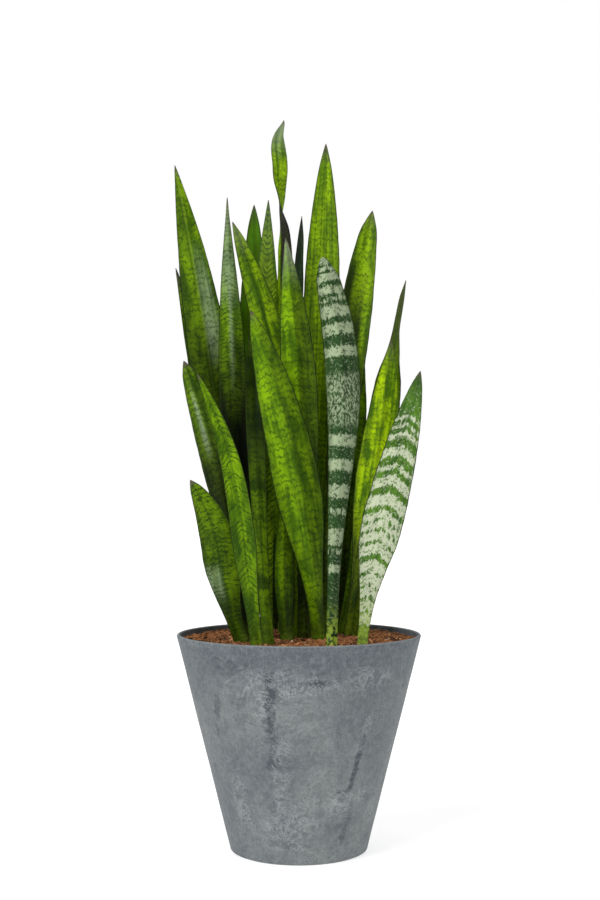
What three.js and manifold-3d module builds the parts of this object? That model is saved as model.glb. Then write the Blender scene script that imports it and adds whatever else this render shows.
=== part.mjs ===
// A snake plant in a tapered round planter, filled with coir potting mix.
// Millimetres, +Z up. The origin is the middle of the planter's flat underside, and the
// front of the plant looks towards -Y.

import * as THREE from 'three';
import { mergeVertices } from 'three/addons/utils/BufferGeometryUtils.js';
import Module from 'manifold-3d';

const wasm = await Module();
wasm.setup();

// ---- planter ----
const POT_HEIGHT = 290;
const RIM_RADIUS = 165;
const BASE_RADIUS = 92;
const POT_WALL = 5;
const POT_FLOOR = 12;
const FOOT_ROUNDING = 4;
const POT_SEGMENTS = 64;
const ROUNDING_STEPS = 4;

// ---- potting mix ----
const SOIL_BELOW_RIM = 8;
const SOIL_GAP = 0.4;
const SOIL_BUMP = 1.6;
const SOIL_RINGS = 8;
const SOIL_SEGMENTS = 40;
// The surface rises and falls in long and short waves, each with its share of the bump.
const SOIL_WAVES = [
  { share: 0.65, lengthX: 130, lengthY: 105, start: 1.3 },
  { share: 0.35, lengthX: 57, lengthY: -75, start: 0 },
];

// ---- leaves ----
// Leaf places and widths below are drawn for a mix surface of this radius.
const LAYOUT_RADIUS = 158;
const ROOT_DEPTH = 34;
const POCKET_GAP = 0.4;
const STALK_THICKNESS = 7;
const BLADE_THICKNESS = 4;
const TIP_THICKNESS = 1.6;
const MARGIN_SHARE = 0.3;
const STALK_CUP = 0.5;
const CUP_POWER = 1.5;
const STALK_RISE = 1.4;
const LEAF_RINGS = 14;
const TIP_CROWDING = 1.25;
const TWIST_REACH = 0.24;
const RING_SHARES = [-1, -0.5, 0, 0.5, 1];
const TANGENT_STEP = 0.01;

// One row for each leaf.
//   root, tip   where the middle of the blade leaves the mix, and where it ends, in plan
//   height      of the tip above the mix
//   bow         how far the middle of the blade stands off the straight line, in plan
//   sway        how far an S-bend swings it, the lower half one way and the upper half back
//   width       at the widest place, which is at the share `widest` of the height
//   stalk       width of the channelled foot of the blade
//   taper       1 narrows evenly to a sharp tip, less keeps the blade full for longer
//   turn        degrees that the hollow face is turned from facing the front, seen from above
//   twist       degrees that the blade turns further on its way up, about the height `twistAt`
//   cup         depth of the hollow against half the width
const STRAIGHT = { bow: [0, 0], sway: [0, 0], twist: 0, twistAt: 0.5 };
const LEAVES = [
  // left side
  { name: 'leaf_left_tall', root: [-78, 36], tip: [-171, 26], height: 647, bow: [9, 0],
    width: 57, stalk: 20, widest: 0.54, taper: 1, turn: 10, cup: 0.22 },
  { name: 'leaf_left_behind', root: [-84, 66], tip: [-173, 62], height: 512, bow: [12, 0],
    width: 38, stalk: 19, widest: 0.55, taper: 1, turn: 15, cup: 0.2 },
  { name: 'leaf_left_glossy', root: [-72, -24], tip: [-153, -40], height: 372, bow: [16, 0],
    width: 46, stalk: 19, widest: 0.6, taper: 0.6, turn: 168, cup: 0.2 },
  { name: 'leaf_left_low', root: [-76, -54], tip: [-141, -80], height: 214, bow: [7, 0],
    sway: [-5, 0], width: 50, stalk: 20, widest: 0.5, taper: 0.75, turn: 172, cup: 0.25 },
  { name: 'leaf_folded', root: [-62, 0], tip: [-97, -8], height: 595, bow: [-7, 0],
    width: 42, stalk: 20, widest: 0.45, taper: 1.15, turn: 180, cup: 0.6 },
  // middle
  { name: 'leaf_leaning', root: [0, 22], tip: [-91, 14], height: 567, bow: [32, 0],
    width: 46, stalk: 19, widest: 0.58, taper: 0.75, turn: 4, cup: 0.3 },
  { name: 'leaf_centre', root: [8, 0], tip: [-18, -14], height: 540, bow: [10, 0],
    width: 48, stalk: 20, widest: 0.62, taper: 1, turn: 184, cup: 0.22 },
  { name: 'leaf_twisted_tallest', root: [-26, 50], tip: [-26, 42], height: 713, bow: [5, 0],
    width: 38, stalk: 18, widest: 0.5, taper: 0.45, turn: 127, twist: -127, twistAt: 0.86,
    cup: 0.2 },
  { name: 'leaf_sliver', root: [-14, 106], tip: [4, 96], height: 592, bow: [-8, 0],
    width: 32, stalk: 18, widest: 0.6, taper: 0.62, turn: 56, cup: 0.2 },
  { name: 'leaf_plain', root: [-66, 106], tip: [-64, 92], height: 607,
    width: 46, stalk: 19, widest: 0.55, taper: 0.7, turn: 0, cup: 0.2 },
  { name: 'leaf_chevron', root: [-46, 78], tip: [-43, 66], height: 608, bow: [-4, 0],
    width: 44, stalk: 18, widest: 0.55, taper: 0.95, turn: 10, cup: 0.25 },
  { name: 'leaf_right_tall', root: [12, 82], tip: [38, 70], height: 688, bow: [3, 0],
    width: 52, stalk: 20, widest: 0.62, taper: 0.8, turn: -6, cup: 0.2 },
  // front
  { name: 'leaf_front_left', root: [-54, -84], tip: [-131, -92], height: 350, bow: [17, 0],
    sway: [-4, 0], width: 31, stalk: 16, widest: 0.4, taper: 0.75, turn: -10, cup: 0.3 },
  { name: 'leaf_front_narrow', root: [-40, -62], tip: [-62, -6], height: 436, bow: [-4, 0],
    width: 25, stalk: 15, widest: 0.68, taper: 0.7, turn: 0, cup: 0.25 },
  { name: 'leaf_front_short', root: [-16, -20], tip: [-16, 2], height: 205, bow: [-4, 0],
    width: 26, stalk: 18, widest: 0.4, taper: 0.8, turn: 180, cup: 0.3 },
  { name: 'leaf_front_broad', root: [27, -16], tip: [-63, -66], height: 435, bow: [14, 0],
    width: 62, stalk: 19, widest: 0.46, taper: 0.75, turn: 184, cup: 0.25 },
  { name: 'leaf_front_pale', root: [42, -96], tip: [30, -110], height: 497, bow: [19, 0],
    sway: [-7, 0], width: 44, stalk: 14, widest: 0.7, taper: 0.42, turn: 182, cup: 0.22 },
  // right side
  { name: 'leaf_right_upper', root: [42, 52], tip: [102, 42], height: 588, bow: [-11, 0],
    width: 46, stalk: 20, widest: 0.68, taper: 0.58, turn: -10, cup: 0.3 },
  { name: 'leaf_right_edge_on', root: [64, 70], tip: [151, 74], height: 497, bow: [2, 0],
    width: 44, stalk: 19, widest: 0.5, taper: 0.5, turn: -10, twist: -64, twistAt: 0.74,
    cup: 0.18 },
  { name: 'leaf_right_olive', root: [70, 34], tip: [126, 4], height: 404, bow: [3, 0],
    width: 54, stalk: 19, widest: 0.52, taper: 0.9, turn: 8, cup: 0.22 },
  { name: 'leaf_right_pale', root: [82, -85], tip: [155, -110], height: 352, bow: [-7, 0],
    sway: [-2, 0], width: 52, stalk: 13, widest: 0.44, taper: 0.78, turn: -6, cup: 0.15 },
  // back, behind the rest
  { name: 'leaf_back_left', root: [-92, 100], tip: [-116, 160], height: 404, bow: [0, -6],
    width: 50, stalk: 20, widest: 0.5, taper: 0.8, turn: 28, cup: 0.22 },
  { name: 'leaf_back_inner_left', root: [-38, 128], tip: [-46, 188], height: 446, bow: [0, -8],
    width: 54, stalk: 21, widest: 0.46, taper: 0.8, turn: 8, cup: 0.22 },
  { name: 'leaf_back_middle', root: [28, 124], tip: [28, 196], height: 380, bow: [0, -8],
    width: 56, stalk: 21, widest: 0.46, taper: 0.8, turn: -6, cup: 0.2 },
  { name: 'leaf_back_inner_right', root: [60, 112], tip: [86, 152], height: 470, bow: [0, -6],
    width: 52, stalk: 20, widest: 0.48, taper: 0.85, turn: -20, cup: 0.22 },
  { name: 'leaf_back_far_right', root: [90, 92], tip: [128, 140], height: 318, bow: [0, -4],
    width: 46, stalk: 19, widest: 0.48, taper: 0.8, turn: -44, cup: 0.22 },
].map((leaf) => ({ ...STRAIGHT, ...leaf }));

// ---- colours and gloss ----
const POT_ROUGHNESS = 0.8;
const SOIL_ROUGHNESS = 1;
const LEAF_ROUGHNESS = 0.45;
const POT_COLOUR = 0x767d80;
const SOIL_COLOUR = 0x6e4126;
const GREEN = 0x4f7a1c;
const DARK_GREEN = 0x2c4a17;
const PALE_GREEN = 0xa9b991;
const LEAF_COLOURS = {
  leaf_folded: DARK_GREEN,
  leaf_sliver: DARK_GREEN,
  leaf_front_narrow: DARK_GREEN,
  leaf_front_pale: PALE_GREEN,
  leaf_right_pale: PALE_GREEN,
};

// ---- sizes that follow from the ones above ----
const SOIL_TOP = POT_HEIGHT - SOIL_BELOW_RIM;
const WALL_SLOPE = (RIM_RADIUS - BASE_RADIUS) / POT_HEIGHT;
const SOIL_TOP_RADIUS = innerRadius(SOIL_TOP) - SOIL_GAP;
const SPREAD = SOIL_TOP_RADIUS / LAYOUT_RADIUS;

function outerRadius(z) {
  return BASE_RADIUS + WALL_SLOPE * z;
}

function innerRadius(z) {
  return outerRadius(z) - POT_WALL * Math.hypot(1, WALL_SLOPE);
}

function smoothstep(x) {
  return x * x * (3 - 2 * x);
}

function mix(a, b, share) {
  return a + (b - a) * share;
}

// ---- planter: a turned wall with a rounded lip, a flat floor and a flat underside ----
function arc(radius, z, size, from, to) {
  const points = [];
  for (let i = 0; i <= ROUNDING_STEPS; i++) {
    const angle = THREE.MathUtils.degToRad(mix(from, to, i / ROUNDING_STEPS));
    points.push(new THREE.Vector2(radius + size * Math.cos(angle), z + size * Math.sin(angle)));
  }
  return points;
}

function potGeometry() {
  const lip = POT_WALL / 2;
  const lipTop = POT_HEIGHT - lip;
  const foot = outerRadius(FOOT_ROUNDING) - FOOT_ROUNDING;
  const profile = [
    new THREE.Vector2(0, 0),
    ...arc(foot, FOOT_ROUNDING, FOOT_ROUNDING, -90, 0),
    ...arc(outerRadius(lipTop) - lip, lipTop, lip, 0, 180),
    new THREE.Vector2(innerRadius(POT_FLOOR), POT_FLOOR),
    new THREE.Vector2(0, POT_FLOOR),
  ];
  return new THREE.LatheGeometry(profile, POT_SEGMENTS).rotateX(Math.PI / 2);
}

// ---- closed surface through a stack of rings with equally many points ----
// The first half of a ring faces its second half, so its cap is a strip of quads between
// them, which stays inside a hollow-faced ring too.
function capFaces(start, count, facesUp) {
  const faces = [];
  const add = (a, b, c) => {
    faces.push(start + a, start + (facesUp ? b : c), start + (facesUp ? c : b));
  };
  for (let i = 0; i < count / 2 - 1; i++) {
    add(i, i + 1, count - i - 2);
    add(i, count - i - 2, count - i - 1);
  }
  return faces;
}

function ringGeometry(rings, apex) {
  const positions = rings.flat().flatMap((p) => [p.x, p.y, p.z]);
  const count = rings[0].length;
  const last = (rings.length - 1) * count;
  const faces = capFaces(0, count, false);
  for (let r = 0; r < rings.length - 1; r++) {
    for (let i = 0; i < count; i++) {
      const a = r * count + i;
      const b = r * count + ((i + 1) % count);
      faces.push(a, b, b + count);
      faces.push(a, b + count, a + count);
    }
  }
  if (apex) {
    positions.push(apex.x, apex.y, apex.z);
    for (let i = 0; i < count; i++) {
      faces.push(last + i, last + ((i + 1) % count), rings.length * count);
    }
  } else {
    faces.push(...capFaces(last, count, true));
  }
  const geometry = new THREE.BufferGeometry();
  geometry.setAttribute('position', new THREE.Float32BufferAttribute(positions, 3));
  geometry.setIndex(faces);
  geometry.computeVertexNormals();
  return geometry;
}

// ---- one leaf ----
function spinePoint(leaf, t) {
  const bowed = 4 * t * (1 - t);
  const swayed = Math.sin(2 * Math.PI * t);
  const plan = [0, 1].map((axis) => SPREAD * (mix(leaf.root[axis], leaf.tip[axis], t)
    + leaf.bow[axis] * bowed + leaf.sway[axis] * swayed));
  return new THREE.Vector3(plan[0], plan[1], SOIL_TOP + leaf.height * t);
}

function bladeAngle(leaf, t) {
  const start = leaf.twistAt - TWIST_REACH / 2;
  const share = Math.min(1, Math.max(0, (t - start) / TWIST_REACH));
  return THREE.MathUtils.degToRad(leaf.turn + leaf.twist * smoothstep(share));
}

function bladeWidth(leaf, t) {
  if (t < leaf.widest) {
    const climb = smoothstep(Math.max(0, t / leaf.widest) ** STALK_RISE);
    return SPREAD * mix(leaf.stalk, leaf.width, climb);
  }
  const toTip = (t - leaf.widest) / (1 - leaf.widest);
  return SPREAD * leaf.width * (1 - toTip * toTip) ** leaf.taper;
}

function bladeThickness(leaf, t) {
  if (t < leaf.widest) {
    return mix(STALK_THICKNESS, BLADE_THICKNESS, smoothstep(Math.max(0, t / leaf.widest)));
  }
  return mix(BLADE_THICKNESS, TIP_THICKNESS, (t - leaf.widest) / (1 - leaf.widest));
}

// Ring of ten points round the blade: five across the hollow face, then five back.
function bladeRing(leaf, t, gap) {
  const middle = spinePoint(leaf, t);
  const below = spinePoint(leaf, t - TANGENT_STEP);
  const along = spinePoint(leaf, t + TANGENT_STEP).sub(below).normalize();
  const angle = bladeAngle(leaf, t);
  const across = new THREE.Vector3(Math.cos(angle), Math.sin(angle), 0);
  across.addScaledVector(along, -across.dot(along)).normalize();
  const facing = new THREE.Vector3().crossVectors(across, along);
  const half = bladeWidth(leaf, t) / 2;
  const cup = mix(STALK_CUP, leaf.cup, smoothstep(Math.min(1, Math.max(0, t / leaf.widest))));
  const halfThick = bladeThickness(leaf, t) / 2;
  const place = (u, side) => {
    const hollow = cup * half * Math.abs(u) ** CUP_POWER;
    const skin = halfThick * mix(1, MARGIN_SHARE, u * u) + gap;
    const point = middle.clone().addScaledVector(across, u * (half + gap));
    return point.addScaledVector(facing, hollow + side * skin);
  };
  return [
    ...RING_SHARES.map((u) => place(u, 1)),
    ...RING_SHARES.map((u) => place(-u, -1)),
  ];
}

function stations(leaf) {
  const foot = -ROOT_DEPTH / leaf.height;
  const places = [];
  for (let i = 0; i < LEAF_RINGS; i++) {
    places.push(mix(foot, 1, 1 - (1 - i / LEAF_RINGS) ** TIP_CROWDING));
  }
  return places;
}

function leafGeometry(leaf) {
  const rings = stations(leaf).map((t) => bladeRing(leaf, t, 0));
  return ringGeometry(rings, spinePoint(leaf, 1));
}

// The room that a leaf's foot takes in the mix: the same rings, grown by the pocket's gap.
function pocketGeometry(leaf) {
  const clear = (SOIL_BUMP + leaf.stalk / 2) / leaf.height;
  const places = stations(leaf);
  const reach = places.findIndex((t) => t > clear);
  const used = places.slice(0, reach + 1);
  used[0] -= POCKET_GAP / leaf.height;
  return ringGeometry(used.map((t) => bladeRing(leaf, t, POCKET_GAP)));
}

// ---- potting mix ----
function bump(x, y) {
  let height = 0;
  for (const wave of SOIL_WAVES) {
    const turns = x / wave.lengthX + y / wave.lengthY;
    height += SOIL_BUMP * wave.share * Math.sin(2 * Math.PI * turns + wave.start);
  }
  return height;
}

function soilGeometry() {
  const foot = POT_FLOOR + SOIL_GAP;
  const ring = (radius, height) => {
    const points = [];
    for (let i = 0; i < SOIL_SEGMENTS; i++) {
      const angle = (2 * Math.PI * i) / SOIL_SEGMENTS;
      const x = radius * Math.cos(angle);
      const y = radius * Math.sin(angle);
      points.push(new THREE.Vector3(x, y, height(x, y)));
    }
    return points;
  };
  const facet = Math.cos(Math.PI / POT_SEGMENTS);
  const rings = [
    ring(innerRadius(foot) * facet - SOIL_GAP, () => foot),
    ring(SOIL_TOP_RADIUS * facet, () => SOIL_TOP),
  ];
  for (let i = SOIL_RINGS - 1; i > 0; i--) {
    rings.push(ring((SOIL_TOP_RADIUS * i) / SOIL_RINGS, (x, y) => SOIL_TOP + bump(x, y)));
  }
  return ringGeometry(rings, new THREE.Vector3(0, 0, SOIL_TOP + bump(0, 0)));
}

// Points closer than this are one point.
const MERGE_DISTANCE = 1e-3;

function solidOf(geometry) {
  const bare = geometry.clone();
  bare.deleteAttribute('normal');
  bare.deleteAttribute('uv');
  const merged = mergeVertices(bare, MERGE_DISTANCE);
  return new wasm.Manifold(new wasm.Mesh({
    numProp: 3,
    vertProperties: merged.attributes.position.array,
    triVerts: new Uint32Array(merged.index.array),
  }));
}

function geometryOf(solid) {
  const mesh = solid.getMesh();
  const geometry = new THREE.BufferGeometry();
  geometry.setAttribute('position', new THREE.BufferAttribute(mesh.vertProperties, 3));
  geometry.setIndex(new THREE.BufferAttribute(mesh.triVerts, 1));
  geometry.computeVertexNormals();
  return geometry;
}

function pottedSoilGeometry() {
  let soil = solidOf(soilGeometry());
  for (const leaf of LEAVES) {
    soil = soil.subtract(solidOf(pocketGeometry(leaf)));
  }
  return geometryOf(soil);
}

// ---- the whole object ----
function part(name, geometry, color, roughness) {
  const material = new THREE.MeshStandardMaterial({ color, roughness, metalness: 0 });
  const mesh = new THREE.Mesh(geometry, material);
  mesh.name = name;
  return mesh;
}

const plant = new THREE.Group();
for (const leaf of LEAVES) {
  const colour = LEAF_COLOURS[leaf.name] ?? GREEN;
  plant.add(part(leaf.name, leafGeometry(leaf), colour, LEAF_ROUGHNESS));
}

const pottedPlant = new THREE.Group();
pottedPlant.add(part('pot', potGeometry(), POT_COLOUR, POT_ROUGHNESS));
pottedPlant.add(part('soil', pottedSoilGeometry(), SOIL_COLOUR, SOIL_ROUGHNESS));
pottedPlant.add(plant);

export default pottedPlant;
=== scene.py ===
"""Looks for the potted snake plant: fine blades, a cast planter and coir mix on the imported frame.

Everything is in metres in the frame of the CAD model. Each blade is drawn again along the rings
of its CAD solid, so it keeps that solid's place, width and twist.
"""

import math
import random
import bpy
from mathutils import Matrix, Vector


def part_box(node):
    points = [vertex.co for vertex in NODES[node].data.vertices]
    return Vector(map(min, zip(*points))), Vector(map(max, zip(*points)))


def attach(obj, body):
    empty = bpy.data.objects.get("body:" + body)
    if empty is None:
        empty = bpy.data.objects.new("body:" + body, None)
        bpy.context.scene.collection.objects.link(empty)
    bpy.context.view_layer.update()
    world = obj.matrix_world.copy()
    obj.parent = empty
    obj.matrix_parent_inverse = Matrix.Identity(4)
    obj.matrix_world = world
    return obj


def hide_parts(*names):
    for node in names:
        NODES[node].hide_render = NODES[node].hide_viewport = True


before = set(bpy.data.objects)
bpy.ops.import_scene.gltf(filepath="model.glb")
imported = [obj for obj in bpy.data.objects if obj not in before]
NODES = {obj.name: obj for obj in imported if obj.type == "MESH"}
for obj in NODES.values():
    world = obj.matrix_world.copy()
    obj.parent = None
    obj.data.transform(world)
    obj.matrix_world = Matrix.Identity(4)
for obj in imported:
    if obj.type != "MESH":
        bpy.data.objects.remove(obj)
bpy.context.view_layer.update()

from types import SimpleNamespace

import bmesh
import bpy
import numpy as np
from mathutils import Vector, noise

MM = 0.001
TAU = 2 * math.pi
NEAR = 1e-4
ANY_TURN = 6.3

# ---- blades ----
# A ring of a CAD blade has five points across its hollow face, then five back.
FACE_POINTS = 5
RING_POINTS = 2 * FACE_POINTS
MIDDLE = FACE_POINTS // 2
MARGIN_SHARE = 0.3
ROWS = 150
ROW_CROWDING = 1.35
ACROSS = 20
TIP_THICKNESS = 1.2 * MM
SPIKE_LENGTH = 0.011
SPIKE_HALF_WIDTH = 0.0009
SPIKE_END = 0.12
SPIKE_POWER = 0.7
# Lengths of the waves that lift the margins, and of those that make them wider and narrower.
RUFFLE_LEFT, RUFFLE_RIGHT = (0.19, 0.11, 0.063), (0.17, 0.10, 0.057)
EDGE_LEFT, EDGE_RIGHT = (0.13, 0.047, 0.021), (0.12, 0.051, 0.019)
EDGE_WAVE = 0.022
RUFFLE_POWER = 2.5
EDGE_ROUNDING = 0.35 * MM
BEAD_HEIGHT = 0.12 * MM
BEAD_AT = 0.965
BEAD_WIDTH = 0.02
RIB_FADE_WIDTH = 0.012

# ---- leaf colours, linear ----
BRIGHT = (0.200, 0.365, 0.003)
BRIGHTEST = (0.260, 0.440, 0.003)
OLIVE = (0.330, 0.500, 0.002)
MID = (0.058, 0.130, 0.002)
DARK = (0.014, 0.042, 0.003)
LIME = (0.300, 0.420, 0.045)
PALE = (0.46, 0.56, 0.36)
DRY = (0.085, 0.070, 0.055)
RIM = (0.009, 0.015, 0.003)
# Painted sheen: a grey-green highlight laid into the colour where glossy blades catch the light.
PAINTED_SHEEN = (0.25, 0.32, 0.20)
SMOKE = (0.050, 0.045, 0.040)
# Painted shadow: near black, for parts of blades in the shade of their neighbours.
PAINTED_SHADOW = (0.004, 0.010, 0.001)
# Painted shade for the half of a twisted blade that turns away from the light.
TWIST_SHADOW = (0.014, 0.009, 0.012)
LIGHT_LINE = (0.13, 0.21, 0.03)


# ======== node trees ========
class Tree:
    """A material whose nodes are added one call at a time. A value may be a number or a socket."""

    def __init__(self, name):
        self.material = bpy.data.materials.new(name)
        self.material.use_nodes = True
        self.tree = self.material.node_tree
        self.tree.nodes.clear()
        self.output = self.add("ShaderNodeOutputMaterial")
        self.shader = self.add("ShaderNodeBsdfPrincipled")
        self.link(self.shader.outputs["BSDF"], self.output.inputs["Surface"])

    def add(self, kind, **settings):
        node = self.tree.nodes.new(kind)
        for key, value in settings.items():
            setattr(node, key, value)
        return node

    def link(self, source, socket):
        if isinstance(source, (int, float)):
            socket.default_value = source
        elif isinstance(source, tuple):
            size = len(socket.default_value)
            socket.default_value = source if len(source) == size else (*source, 1.0)
        else:
            self.tree.links.new(source, socket)

    def attribute(self, name):
        return self.add("ShaderNodeAttribute", attribute_name=name)

    def split(self, vector):
        node = self.add("ShaderNodeSeparateXYZ")
        self.link(vector, node.inputs[0])
        return node.outputs

    def join(self, x, y, z):
        node = self.add("ShaderNodeCombineXYZ")
        for socket, value in zip(node.inputs, (x, y, z)):
            self.link(value, socket)
        return node.outputs[0]

    def math(self, operation, *values):
        node = self.add("ShaderNodeMath", operation=operation)
        for socket, value in zip(node.inputs, values):
            self.link(value, socket)
        return node.outputs[0]

    def times(self, *values):
        product = values[0]
        for value in values[1:]:
            product = self.math("MULTIPLY", product, value)
        return product

    def plus(self, *values):
        total = values[0]
        for value in values[1:]:
            total = self.math("ADD", total, value)
        return total

    def inverse(self, value):
        return self.math("SUBTRACT", 1.0, value)

    def larger(self, a, b):
        return self.math("MAXIMUM", a, b)

    def swing(self, value, size):
        """The ups and downs of a noise about its middle, size times as large."""
        return self.times(self.plus(value, -0.5), size)

    def noise(self, vector, scale=1.0, detail=2.0, roughness=0.5, distortion=0.0):
        node = self.add("ShaderNodeTexNoise")
        self.link(vector, node.inputs["Vector"])
        for key, value in (("Scale", scale), ("Detail", detail), ("Roughness", roughness),
                           ("Distortion", distortion)):
            node.inputs[key].default_value = value
        return node.outputs["Fac"]

    def step(self, value, low, high, start=0.0, end=1.0):
        """start below low, end above high, and a smooth climb between."""
        node = self.add("ShaderNodeMapRange", interpolation_type="SMOOTHSTEP")
        for key, item in (("Value", value), ("From Min", low), ("From Max", high),
                          ("To Min", start), ("To Max", end)):
            self.link(item, node.inputs[key])
        return node.outputs[0]

    def down(self, value, low, high):
        """1 below low, 0 above high."""
        return self.step(value, low, high, 1.0, 0.0)

    def mix(self, share, a, b, blend="MIX"):
        node = self.add("ShaderNodeMix", data_type="RGBA", blend_type=blend)
        self.link(share, node.inputs[0])
        self.link(a, node.inputs[6])
        self.link(b, node.inputs[7])
        return node.outputs[2]

    def bump(self, height, distance, strength):
        node = self.add("ShaderNodeBump")
        self.link(height, node.inputs["Height"])
        node.inputs["Distance"].default_value = distance
        node.inputs["Strength"].default_value = strength
        return node.outputs[0]

    def set(self, **values):
        for key, value in values.items():
            self.link(value, self.shader.inputs[key.replace("_", " ")])


def add_to_scene(name, data):
    obj = bpy.data.objects.new(name, data)
    bpy.context.scene.collection.objects.link(obj)
    return obj


def mesh_object(name, vertices, faces, material, replaced=(), attributes=None, smooth=True):
    """A piece on the root body, with point attributes from arrays."""
    mesh = bpy.data.meshes.new(name)
    mesh.from_pydata([tuple(v) for v in vertices], [], faces)
    for key, values in (attributes or {}).items():
        values = np.asarray(values, np.float32)
        kind = "FLOAT" if values.ndim == 1 else "FLOAT_VECTOR"
        layer = mesh.attributes.new(key, kind, "POINT")
        layer.data.foreach_set("value" if values.ndim == 1 else "vector", values.ravel())
    mesh.polygons.foreach_set("use_smooth", [smooth] * len(mesh.polygons))
    mesh.validate()
    mesh.update()
    mesh.materials.append(material)
    obj = add_to_scene(name, mesh)
    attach(obj, "root")
    if replaced:
        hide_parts(*replaced)


# ======== blades ========
def runs_round(edge, members):
    """True for an edge between two neighbours of a ring, and not across the cap at its foot."""
    inside = all(v in members for v in edge.verts)
    return inside and any(v not in members for f in edge.link_faces for v in f.verts)


def levels_below(apex):
    """The blade's vertices in rings, each one edge further from the apex."""
    seen = {apex}
    level = [e.other_vert(apex) for e in apex.link_edges]
    levels = []
    while level:
        seen.update(level)
        levels.append(level)
        after = {e.other_vert(v) for v in level for e in v.link_edges} - seen
        level = sorted(after, key=lambda v: v.index)
    return levels


def ring_in_order(level):
    """The points of one ring, in their order round the blade."""
    members = set(level)
    order = [level[0]]
    while len(order) < RING_POINTS:
        steps = [e for e in order[-1].link_edges if runs_round(e, members)]
        follow = [e.other_vert(order[-1]) for e in steps]
        order.append(next(v for v in follow if v not in order))
    return np.array([v.co for v in order])


def faces_of(ring):
    """The hollow face and the back of a ring, both from the left edge to the right one."""
    return ring[:FACE_POINTS], ring[:FACE_POINTS - 1:-1]


def from_left_edge(ring):
    """Starts the ring at its left edge, hollow face first."""
    lengths = np.linalg.norm(np.roll(ring, -1, axis=0) - ring, axis=1)
    start = min(range(FACE_POINTS), key=lambda i: lengths[i] + lengths[i + FACE_POINTS])
    ring = np.roll(ring, -(start + 1), axis=0)
    face, back = faces_of(ring)
    core = (face + back) / 2
    edges = (core[0] + core[-1]) / 2
    if (face[MIDDLE] - back[MIDDLE]) @ (edges - core[MIDDLE]) < 0:
        ring = np.roll(ring, -FACE_POINTS, axis=0)
    return ring


def rings_of(node):
    """The CAD blade's rings from its foot to its tip, each ten points round, and its apex.

    A ring starts at the left edge of the hollow face, and runs across it and back behind.
    """
    bm = bmesh.new()
    bm.from_mesh(NODES[node].data)
    bmesh.ops.remove_doubles(bm, verts=bm.verts, dist=1e-6)
    apex = max(bm.verts, key=lambda v: v.co.z)
    tip = np.array(apex.co)
    rings = [ring_in_order(level) for level in reversed(levels_below(apex))]
    bm.free()
    above = np.array([ring.mean(0) for ring in rings[1:]] + [tip])
    for k, ring in enumerate(rings):
        middle = ring.mean(0)
        spokes = ring - middle
        turning = np.cross(spokes, np.roll(spokes, -1, axis=0)).sum(0)
        if turning @ (above[k] - middle) < 0:
            rings[k] = ring[::-1]
    widest = max(range(len(rings)), key=lambda k: np.ptp(rings[k], axis=0).max())
    rings[widest] = from_left_edge(rings[widest])
    # The other rings start where they match their neighbour on the widest ring's side best.
    for k in [*range(widest + 1, len(rings)), *range(widest - 1, -1, -1)]:
        guide = rings[k - 1] if k > widest else rings[k + 1]
        guide = guide - guide.mean(0)
        turned_rings = [np.roll(rings[k], -s, axis=0) for s in range(RING_POINTS)]
        rings[k] = min(turned_rings, key=lambda r: ((r - r.mean(0) - guide) ** 2).sum())
    return np.array(rings), tip


def curve_through(places, values, at):
    """Smooth curve through values (n, k) at rising places, read at other places."""
    slopes = np.gradient(values, places, axis=0)
    i = np.clip(np.searchsorted(places, at, side="right") - 1, 0, len(places) - 2)
    gap = (places[i + 1] - places[i])[:, None]
    s = ((at - places[i]) / gap[:, 0])[:, None]
    s2, s3 = s * s, s * s * s
    return ((2 * s3 - 3 * s2 + 1) * values[i] + (s3 - 2 * s2 + s) * gap * slopes[i]
            + (3 * s2 - 2 * s3) * values[i + 1] + (s3 - s2) * gap * slopes[i + 1])


def unit(rows):
    return rows / np.linalg.norm(rows, axis=1)[:, None]


def waves(rng, at, lengths):
    """A slow, uneven wave of size about 1, from sines of the given lengths in metres."""
    total = np.zeros_like(at)
    for length in lengths:
        size = rng.uniform(0.5, 1)
        total += size * np.sin(TAU * at / length + rng.uniform(0, ANY_TURN))
    return total / len(lengths)


def blade_rows(node, look):
    """Where the blade's middle, edges, hollow and thickness are in each fine row."""
    rings, tip = rings_of(node)
    face, back = faces_of(rings.swapaxes(0, 1))
    core = (face + back) / 2
    left, middle, right = core[0], core[MIDDLE], core[-1]
    half = np.linalg.norm(right - left, axis=1) / 2
    across = unit(right - left)
    through = face[MIDDLE] - back[MIDDLE]
    thick = np.linalg.norm(through, axis=1)
    hollow = (((left + right) / 2 - middle) * unit(through)).sum(1)

    spine = np.vstack([middle, tip])
    places = np.concatenate([[0], np.cumsum(np.linalg.norm(np.diff(spine, axis=0), axis=1))])
    at = places[-1] * (1 - (1 - np.linspace(0, 1, ROWS)) ** ROW_CROWDING)
    spine = curve_through(places, spine, at)
    for centre, reach, shift in look.nudges:
        close = np.exp(-(((at / places[-1]) - centre) / reach) ** 2)
        spine = spine + close[:, None] * np.array([shift * MM, 0, 0])
    sides = curve_through(places, np.vstack([across, across[-1:]]), at)
    sizes = np.vstack([np.column_stack([half, thick, hollow]), [0, TIP_THICKNESS, 0]])
    sizes = curve_through(places, sizes, at)
    along = unit(np.gradient(spine, at, axis=0))
    sides = unit(sides - (sides * along).sum(1)[:, None] * along)
    facing = np.cross(sides, along)

    # Past the last ring the blade closes to its tip by a power of the way left.
    last = places[-2]
    left_over = np.clip((places[-1] - at) / (places[-1] - last), 0, 1)
    ending = at > last
    sizes[ending, 0] = half[-1] * left_over[ending] ** look.tip_power
    sizes[ending, 2] = hollow[-1] * left_over[ending]
    spike = np.clip((places[-1] - at) / SPIKE_LENGTH, SPIKE_END, 1) ** SPIKE_POWER
    sizes[:, 0] = np.maximum(sizes[:, 0], SPIKE_HALF_WIDTH * spike * look.spike)
    return SimpleNamespace(spine=spine, sides=sides, facing=facing, half=sizes[:, 0],
                           thick=sizes[:, 1], hollow=sizes[:, 2], at=at)


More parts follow.
